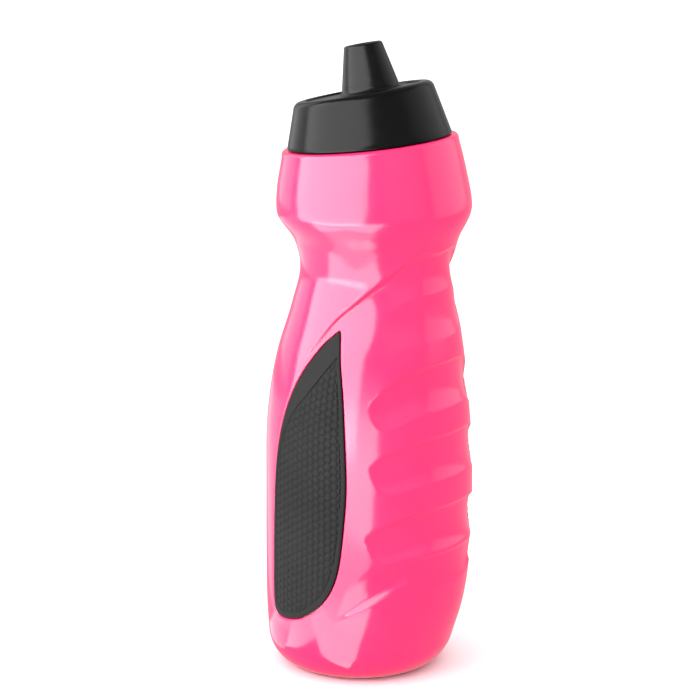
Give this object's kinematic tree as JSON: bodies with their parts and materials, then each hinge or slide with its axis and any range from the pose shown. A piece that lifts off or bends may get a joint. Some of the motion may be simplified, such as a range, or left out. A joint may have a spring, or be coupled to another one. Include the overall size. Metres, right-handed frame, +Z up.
{
  "type": "sports squeeze bottle",
  "caption": "Upright squeeze bottle with a pinched waist, finger grooves, inlaid rubber side grips and a tilted screw lid with a conical drinking spout.",
  "frame": {"origin": "on the floor plane the bottle stands on, under the middle of the whole part", "axes": "+Z up along the bottle, +X towards the finger grooves, -X the palm side that the neck leans to, -Y and +Y the two grip pads"},
  "size_m": [0.076, 0.0758, 0.2323],
  "materials": {
    "bottle": "satin",
    "grip": "matte textured",
    "lid": "satin",
    "spout": "satin",
    "valve": "matte",
    "retainer": "matte",
    "gasket": "matte"
  },
  "bodies": {
    "root": {"bottle_body": "bottle", "grip_pad_left": "grip", "grip_pad_right": "grip"},
    "lid_lifter": {"lid_gasket": "gasket"},
    "lid": {"lid_shell": "lid", "spout": "spout", "slit_valve": "valve", "valve_retainer": "retainer"}
  },
  "joints": [
    {"name": "lid_lift", "type": "slide", "parent": "root", "child": "lid_lifter", "axis": [-0.134, 0, 0.991], "range_m": [0, 0.01238]},
    {"name": "lid_turn", "type": "hinge", "parent": "lid_lifter", "child": "lid", "pos_m": [0.0001, 0, 0.1963], "axis": [-0.134, 0, 0.991], "range_deg": [0, 810]}
  ],
  "couplings": [
    {"joint": "lid_turn", "follows": "lid_lift", "rad_per_m": 1142.4}
  ]
}
